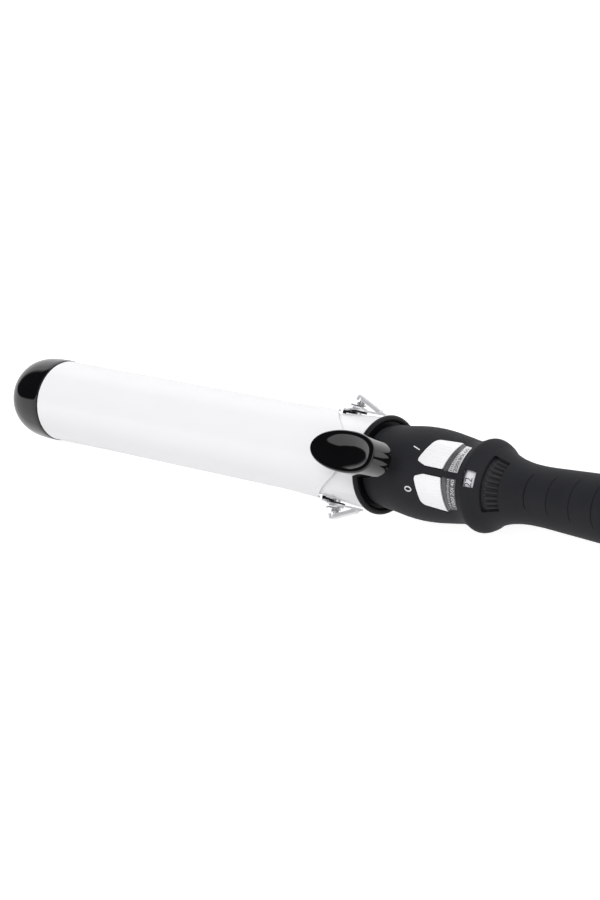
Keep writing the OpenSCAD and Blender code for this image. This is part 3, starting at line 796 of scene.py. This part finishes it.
# Rings from the bowl's middle over the face, round its edge and down the hull to the floor
rings = []
angles = [2 * math.pi * k / 144 for k in range(144)]
for k in range(1, 31):
    q = k / 30
    ring = []
    for a in angles:
        x, y = dish_outline(a, q)
        ring.append((x, y, face_z(x) - dish_depth(a, q)))
    rings.append(ring)
for k in range(1, 5):
    ring = []
    for a in angles:
        p, q = dish_outline(a, 1), lever_outline(1.0, a, ROUND)
        x, y = (p[0] + (q[0] - p[0]) * k / 4, p[1] + (q[1] - p[1]) * k / 4)
        ring.append((x, y, face_z(x)))
    rings.append(ring)
for k in range(1, 8):
    q = math.pi / 2 * k / 7
    ring = []
    for a in angles:
        x, y = lever_outline(1.0, a, ROUND * (1 - math.sin(q)))
        ring.append((x, y, face_z(x) - ROUND * (1 - math.cos(q))))
    rings.append(ring)
for k in range(1, 25):
    s = 1 - k / 25 * 0.93
    ring = []
    for a in angles:
        x, y = lever_outline(s, a)
        ring.append((x, y, floor_z(x) + (face_z(x) - ROUND - floor_z(x)) * s))
    rings.append(ring)
for k in range(1, 6):
    q = math.pi / 2 * k / 5
    ring = []
    for a in angles:
        x, y = lever_outline(0.05, a, 0.8 * (1 - math.cos(q)))
        ring.append((x, y, floor_z(x) + 0.45 * (1 - math.sin(q))))
    rings.append(ring)
verts, faces = rings_mesh(rings)
lever = make("lever_body", verts, faces, "gloss", "clamp", "gloss_black")
carve(lever, "gloss", block(188, TONGUE + 0.4, 7.4, 20, 28.2))
shade(lever, 28)
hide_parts("thumb_lever")

# ---- Hinge wings, rivets and saddle ---------------------------------------------------

WING_IN = 20.9                      # the wing's inner face beside the pivot, in y
WING_MID = WING_IN + 0.4
WING_THICK = 0.8
EAR_OUT = RI + SHEET + FLARE


def bent_strip(name, path, bends, half, side, eyed=False):
    """A folded strip of sheet metal: a centre line in (t, y) with round bends, half its
    width up and down. An eyed strip has a round front end and widens at the pivot."""
    points = [Vector(p) for p in path]
    line = [points[0]]
    for before, corner, after, r in zip(points, points[1:], points[2:], bends):
        line += [Vector(p) for p in fillet_arc(before, corner, after, r, 0.45, 8)]
    line.append(points[-1])
    fine = [line[0]]
    for p, q in zip(line, line[1:]):
        m = max(1, int((q - p).length / 0.5))
        fine += [p + (q - p) * (k + 1) / m for k in range(m)]
    rings = []
    run = 0.0
    for i, p in enumerate(fine):
        if i:
            run += (p - fine[i - 1]).length
        d = (fine[min(i + 1, len(fine) - 1)] - fine[max(i - 1, 0)]).normalized()
        nrm = Vector((-d.y, d.x)) * WING_THICK / 2
        w = half
        if eyed:
            if run < half:
                w = max(0.5, math.sqrt(half * half - (half - run) ** 2))
            if abs(p.x - PIVOT) < 4.2 and p.y < 23:
                w = max(w, 2.7 * math.sqrt(1 - ((p.x - PIVOT) / 4.2) ** 2))
        a, b = p + nrm, p - nrm
        rings.append([(a.x, side * a.y, -w), (a.x, side * a.y, w), (b.x, side * b.y, w),
                      (b.x, side * b.y, -w)])
    return make(name, *rings_mesh(rings), "satin", smooth=False)


def soften(ob, width):
    """Rounds the sharp edges of a folded or cut part."""
    m = ob.modifiers.new("bevel", "BEVEL")
    m.width = width * MM
    m.segments = 3
    m.limit_method = "ANGLE"
    m.angle_limit = math.radians(40)
    apply_modifiers(ob)
    shade(ob, 50)


def hinge_ring(y, r, n):
    """A circle of n points about the hinge axis."""
    return [(PIVOT + r * math.cos(2 * math.pi * k / n), y, r * math.sin(2 * math.pi * k / n))
            for k in range(n)]


def turned_y(name, profile, mat):
    """A turned part about the hinge axis, from [y, radius] points; y may be negative."""
    return make(name, *rings_mesh([hinge_ring(y, max(r, 0.002), 64) for y, r in profile]), mat)


# The wing runs back from the ear, folds at its far end and comes forward to an apex outside
fold, apex = (198.2, WING_MID - 0.1), (182.4, WING_IN + 6.7)
wing_path = [(174.3, EAR_OUT + 0.42), (177.2, EAR_OUT + 0.42), (178.8, WING_MID),
             (188, WING_MID), fold, apex, (181.4, apex[1] + 0.05)]
hook_path = [(182.6, apex[1]), (180.9, apex[1] - 0.5), (180.4, apex[1] - 1.9)]

# A narrow web along the strut from fold to apex, which leaves the triangle inside open
run = Vector(apex) - Vector(fold)
inward = Vector((-run.y, run.x)).normalized()
near, far = Vector(fold) + run * 0.06, Vector(apex) - run * 0.05
web_plan = [(fold[0] + 0.2, fold[1] + 0.3), (apex[0] + 0.3, apex[1] + 0.1),
            tuple(far + inward * 1.6), tuple(near + inward * 1.6 + run * 0.1),
            (192.4, WING_IN + 0.55), (192.0, WING_IN - 0.05), (fold[0], WING_IN - 0.05)]

# Rivet: head inside the tube, shank, head outside the wing, neck that carries the spring
d = WING_IN + 0.85
rivet_profile = [(15.8, 0), (15.8, 2.3), (16.0, 2.5), (16.7, 2.5), (16.9, 2.3), (16.9, 1.45),
                 (d, 1.45), (d, 3.2), (d + 0.08, 3.4), (d + 0.25, 3.5), (d + 0.5, 3.5),
                 (d + 0.75, 3.3), (d + 0.9, 2.85), (d + 0.92, 1.4), (d + 1.02, 1.18),
                 (d + 1.3, 1.0), (d + 3.0, 1.0), (d + 3.1, 0.82), (d + 3.4, 0.82),
                 (d + 3.5, 1.0), (d + 3.7, 0.95), (d + 3.83, 0.7), (d + 3.86, 0)]
# A dark washer between ear and wing, and a dark pad before it where the ear ends: both are
# painted shade, dark pieces that fill the shade in the gap between ear, saddle and wing.
painted_shade_washer_profile = [(20.18, 1.5), (20.18, 3.5), (20.26, 3.7), (20.76, 3.7), (20.84, 3.5),
                  (20.84, 1.5)]
painted_shade_pad_plan = [(174.8, 18.6), (177.6, 18.6), (177.6, 19.35), (182.4, 19.35), (182.4, 20.1),
            (174.8, 20.1)]

for side, word in ((1, "left"), (-1, "right")):
    plate = bent_strip("wing_plate", wing_path, [1, 1, 2, 0.75, 0.7], half=1.3, side=side,
                       eyed=True)
    carve(plate, "satin", rings_mesh([hinge_ring(side * y, 1.5, 40) for y in (20, 23)]))
    hook = bent_strip("wing_hook", hook_path, [0.8], half=0.7, side=side)
    web = make("wing_web", *prism(rounded(on_side(web_plan, side), 0.4, 4), 0.0, 0.7),
               "satin", smooth=False)
    for ob in (plate, hook, web):
        soften(ob, 0.14)
    wing = join("wing_" + word, [plate, hook, web])
    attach(wing, "clamp")
    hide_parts("hinge_wing_" + word)
    rivet = turned_y("rivet_" + word, [(side * y, r) for y, r in rivet_profile], "chrome")
    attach(rivet, "handle")
    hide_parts("pivot_rivet_" + word)
    # The dark washer is painted shade in the gap between ear and wing.
    washer = turned_y("spacer_washer_" + word, [(side * y, r) for y, r in painted_shade_washer_profile],
                      "moulded")
    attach(washer, "handle")
    # The dark pad is painted shade under the end of the ear.
    make("ear_pad_" + word, *prism(rounded(on_side(painted_shade_pad_plan, side), 0.2, 3), -1.0, 1.1),
         "moulded", "clamp", "black_plastic", smooth=False)

# The saddle: a flared sheet on each side that runs back to the collar, and the strap below
TUBE_R = 18.42
SIDE_TOP, SIDE_ARC, SIDE_STEPS = 58, 42, 32     # degrees from the top, degrees down
STRAP_END = 82.2                                # degrees from the top
parts = []
for side in (1, -1):
    rings = []
    for x in span(184.6, 202.8, 0.7):
        flare = 0.7 + 0.8 * ease((x - PIVOT) / 14)
        edge = ease((x - 184.3) / 1.2)
        outside, inside = [], []
        for k in range(SIDE_STEPS + 1):
            a = math.radians(SIDE_TOP + SIDE_ARC * k / SIDE_STEPS)
            f = ease((math.degrees(a) - SIDE_TOP) / 30)
            r = TUBE_R - 0.06 + (0.25 + flare) * f * (0.6 + 0.4 * edge)
            outside.append((x, side * r * math.sin(a), r * math.cos(a)))
            r = TUBE_R - 0.12 + max(0, flare * f - 0.5)
            inside.append((x, side * r * math.sin(a), r * math.cos(a)))
        rings.append(outside + inside[::-1])
    parts.append(make("saddle_side", *rings_mesh(rings), "sheet"))
rings = []
for k in range(97):
    a = math.radians(STRAP_END + (360 - 2 * STRAP_END) * k / 96)
    rings.append([around(t, r, a)
                  for t, r in ((178, TUBE_R), (178, 19.2), (188, 19.2), (188, TUBE_R))])
strap = make("saddle_strap", *rings_mesh(rings), "sheet", smooth=False)
soften(strap, 0.2)
parts.append(strap)
saddle = join("saddle_shell", parts)
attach(saddle, "handle")
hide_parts("hinge_saddle")

# ---- Collar and cord end ---------------------------------------------------------------

COLLAR_R, COLLAR_T = 21.8, 204.6        # outer radius, and station of the bead's middle
bead = 1.4
inner_r = COLLAR_R - 2 * bead
profile = [(203.2, SEAT_R), (203.2, COLLAR_R - bead - 0.5), (203.25, COLLAR_R - bead)]
for a in range(170, -91, -10):
    profile.append((COLLAR_T + bead * math.cos(math.radians(a)),
                    COLLAR_R - bead + bead * math.sin(math.radians(a))))
profile += [(COLLAR_T + 0.35, inner_r), (204.9, inner_r - 0.4), (204.9, SEAT_R)]
ring = make("collar_ring", *revolve(profile + [profile[0]], 192), "moulded", "handle",
            "black_plastic")
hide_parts("collar")

# The swivel: stem and flange inside the handle, neck, shoulder, four grooves and mouth
nose = 360.6
profile = [(338, 1.6), (338, 4.6), (352.2, 4.6), (352.2, 9.3), (352.4, 9.5), (354.4, 9.5),
           (354.6, 9.3), (354.6, 7.0), (nose, 7.0), (nose, 9.0), (nose + 0.15, 9.35),
           (nose + 0.6, 9.6), (nose + 3, 9.6)]
for k in range(4):
    t = nose + 3.4 + 2.1 * k
    r = 9.55 - 0.42 * (t - nose - 3)
    profile += [(t, r), (t + 0.2, r - 0.45), (t + 0.75, r - 0.6), (t + 0.95, r - 0.3)]
profile += [(373.2, 6.0), (373.8, 5.75), (374, 5.4), (374, 3.6), (373.75, 3.25), (354, 3.25),
            (354, 1.6)]
ring = make("cord_end_shell", *revolve(profile + [profile[0]], 96), "moulded", "cord_end",
            "black_plastic")
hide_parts("cord_swivel")

# ---- Springs -------------------------------------------------------------------------

COIL_TURNS, COIL_STEPS = 3, 28


def wire(name, pts, radius):
    """A round wire through the points."""
    cu = bpy.data.curves.new(name, "CURVE")
    cu.dimensions = "3D"
    sp = cu.splines.new("POLY")
    sp.points.add(len(pts) - 1)
    for p, q in zip(sp.points, pts):
        p.co = (*P(*q), 1)
    cu.bevel_depth = radius * MM
    cu.bevel_resolution = 3
    cu.use_fill_caps = True
    cu.materials.append(MAT["wire"])
    return link(name, cu)


def coil(name, centre, side, pitch, radius, wire_r):
    """A coil that runs out along the hinge axis to side 1 or -1, or upwards for side 0."""
    pts = []
    for k in range(COIL_TURNS * COIL_STEPS + 1):
        a = 2 * math.pi * k / COIL_STEPS
        h = pitch * k / COIL_STEPS
        u, w = radius * math.cos(a), radius * math.sin(a)
        away = (u, side * h, w) if side else (u, w, h)
        pts.append([c + d for c, d in zip(centre, away)])
    return wire(name, pts, wire_r)


for side, word in ((1, "left"), (-1, "right")):
    ob = coil("hinge_coil_" + word, (PIVOT, side * (WING_IN + 2.1), 0), side, pitch=0.66,
              radius=1.6, wire_r=0.28)
    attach(ob, "handle")
    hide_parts("hinge_spring_" + word)
for side, word in ((1, "left"), (-1, "right")):
    y = side * (WING_IN + 2.15)
    ob = wire("spring_leg_" + word, [(PIVOT + x, y + side * b, 1.75 + z) for x, b, z in
                                     ((-3.9, 0.5, -0.5), (-3.8, 0.2, -0.1), (-3.4, 0, 0),
                                      (0, 0, 0), (3.4, 0, 0), (3.8, 0.2, -0.1),
                                      (3.9, 0.5, -0.5))], radius=0.34)
    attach(ob, "handle")
for word, side in (("on", 1), ("off", -1)):
    ob = coil(word + "_coil", (243, side * 7, 9.87), 0, pitch=0.61, radius=2.2, wire_r=0.24)
    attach(ob, "handle")
    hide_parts(word + "_button_spring")

# ---- Thumbwheel and number drum --------------------------------------------------------

RIBS, PER = 36, 10                  # ribs round the wheel, points for each
HUB, HUB_R = 260.0, 9.45            # front end and bore of the hub
RIM, RIM_END = 268.1, 274.6         # the ribbed rim, which follows the handle
RIM_STEPS = 22
shape = [(HUB, HUB_R, 0), (HUB, 14.3, 0), (HUB + 0.15, 14.6, 0), (HUB + 7.9, 14.6, 0)]
for k in range(RIM_STEPS + 1):
    t = RIM + (RIM_END - RIM) * k / RIM_STEPS
    u = min(1, (t - RIM) / 1.1, (RIM_END - t) / 1.1)
    shape.append((t, handle_r(t) - 1.25 - 1.1 * (1 - math.sin(math.pi / 2 * u)), u))
shape += [(274.7, 11.4, 0), (274.7, HUB_R, 0)]
rings = []
for t, r, u in shape:
    ring = []
    for k in range(RIBS * PER):
        dip = 1.7 * ease((abs(math.cos(math.pi * (k + 0.5) / PER)) - 0.3) / 0.6) * u
        ring.append(around(t, r - dip, 2 * math.pi * k / (RIBS * PER)))
    rings.append(ring)
rings.append(rings[0])
verts, faces = rings_mesh(rings, False)
wheel = make("ribbed_wheel", verts, faces, "wheel", "dial", "black_plastic")
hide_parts("thumbwheel")


def drum_skin(t):
    return handle_r(t) - 1.9


DRUM_R = 14.65      # the bore of the drum's ring
profile = [(260.4, DRUM_R)]
profile += [(t, drum_skin(t)) for t in [260.4 + 5.2 * k / 12 for k in range(13)]]
profile.append((265.7, DRUM_R))
drum = make("number_ring", *revolve(profile + [profile[0]], 144), "drum", "dial",
            "satin_silver")
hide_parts("number_drum")
for k in range(1, 13):
    wrap_text("digit_%02d" % k, str(k + 16), t=262.7, phi=-4.5 + 24 * (k - 6), size=4.1,
              mat="print_dark", body="dial", radius=drum_skin, lift=0.02)

# ---- Floor, light and camera ---------------------------------------------------------

S = 6.0     # half the floor's side, in metres
floor = bpy.data.meshes.new("floor")
floor.from_pydata([(-S, -S, 0), (S, -S, 0), (S, S, 0), (-S, S, 0)], [], [(0, 1, 2, 3)])
floor_ob = link("floor", floor)
m = bpy.data.materials.new("floor_white")
m.use_nodes = True
nt = m.node_tree
nt.nodes.clear()
out = nt.nodes.new("ShaderNodeOutputMaterial")
diff = nt.nodes.new("ShaderNodeBsdfDiffuse")
diff.inputs["Color"].default_value = (0.80, 0.80, 0.80, 1)
lp = nt.nodes.new("ShaderNodeLightPath")
under = diff.outputs[0]
for ray, strength in (("Is Transmission Ray", 0.2), ("Is Glossy Ray", 0.2),
                      ("Is Camera Ray", 0.6)):
    glow = nt.nodes.new("ShaderNodeEmission")
    glow.inputs["Strength"].default_value = strength
    both = nt.nodes.new("ShaderNodeAddShader")
    mix = nt.nodes.new("ShaderNodeMixShader")
    nt.links.new(diff.outputs[0], both.inputs[0])
    nt.links.new(glow.outputs[0], both.inputs[1])
    nt.links.new(under, mix.inputs[1])
    nt.links.new(both.outputs[0], mix.inputs[2])
    nt.links.new(lp.outputs[ray], mix.inputs[0])
    under = mix.outputs[0]
nt.links.new(under, out.inputs["Surface"])
floor.materials.append(m)

world = bpy.data.worlds.new("studio")
bpy.context.scene.world = world
world.use_nodes = True
nt = world.node_tree
bg = nt.nodes["Background"]
bg.inputs["Strength"].default_value = 1.0
tc = nt.nodes.new("ShaderNodeTexCoord")
axes = nt.nodes.new("ShaderNodeSeparateXYZ")
nt.links.new(tc.outputs["Generated"], axes.inputs[0])


def math_node(operation):
    node = nt.nodes.new("ShaderNodeMath")
    node.operation = operation
    return node


def step(value, lo, hi):
    """Zero below lo, one above hi and a smooth step between."""
    r = nt.nodes.new("ShaderNodeMapRange")
    r.interpolation_type = "SMOOTHSTEP"
    r.inputs["From Min"].default_value = lo
    r.inputs["From Max"].default_value = hi
    nt.links.new(value, r.inputs["Value"])
    return r.outputs["Result"]


# A white tent with a round opening to the dark studio, cut off near the horizon. The
# camera sees the tent white all over.
dark = math_node("MULTIPLY")
lean = nt.nodes.new("ShaderNodeVectorMath")
lean.operation = "DOT_PRODUCT"
lean.inputs[1].default_value = (-0.87, 1.0, 0.9)
nt.links.new(tc.outputs["Generated"], lean.inputs[0])
nt.links.new(step(lean.outputs["Value"], 0.95, 1.01), dark.inputs[0])
sink = math_node("MULTIPLY_ADD")
sink.inputs[1].default_value = -0.35
nt.links.new(axes.outputs["Y"], sink.inputs[0])
nt.links.new(axes.outputs["Z"], sink.inputs[2])
nt.links.new(step(sink.outputs[0], -0.12, 0.08), dark.inputs[1])
lp = nt.nodes.new("ShaderNodeLightPath")
seen_dark = math_node("SUBTRACT")
seen_dark.use_clamp = True
nt.links.new(dark.outputs[0], seen_dark.inputs[0])
nt.links.new(lp.outputs["Is Camera Ray"], seen_dark.inputs[1])
tent = ramp(nt, seen_dark.outputs[0], [(0, (1, 1, 1)), (1, (0.02, 0.02, 0.022))])
nt.links.new(tent, bg.inputs["Color"])

# The key light aims at the origin. It is left out of reflections, so that black gloss
# keeps its dark side.
light = bpy.data.lights.new("key", "AREA")
light.energy = 13.2
light.size = 1.2
key = link("key", light)
key.location = (0.05, 0.8, 1.2)
key.rotation_euler = (-key.location).to_track_quat("-Z", "Y").to_euler()
key.visible_glossy = False

cam = bpy.data.cameras.new("camera")
cam.lens = 90
cam.sensor_width = 36
cam.clip_start = 0.01
cam.clip_end = 50
cam_ob = link("camera", cam)
# The camera's own axes, and where it stands in metres
right = Vector((0.74411, 0.23577, -0.62507))
up = Vector((-0.15033, 0.97075, 0.18721))
ahead = Vector((-0.65092, 0.04535, -0.75779))
cam_ob.matrix_world = Matrix((
    (right.x, up.x, -ahead.x, 0.636636),
    (right.y, up.y, -ahead.y, -0.046634),
    (right.z, up.z, -ahead.z, 0.783962),
    (0, 0, 0, 1)))
bpy.context.scene.camera = cam_ob
bpy.context.scene.view_settings.view_transform = "Standard"
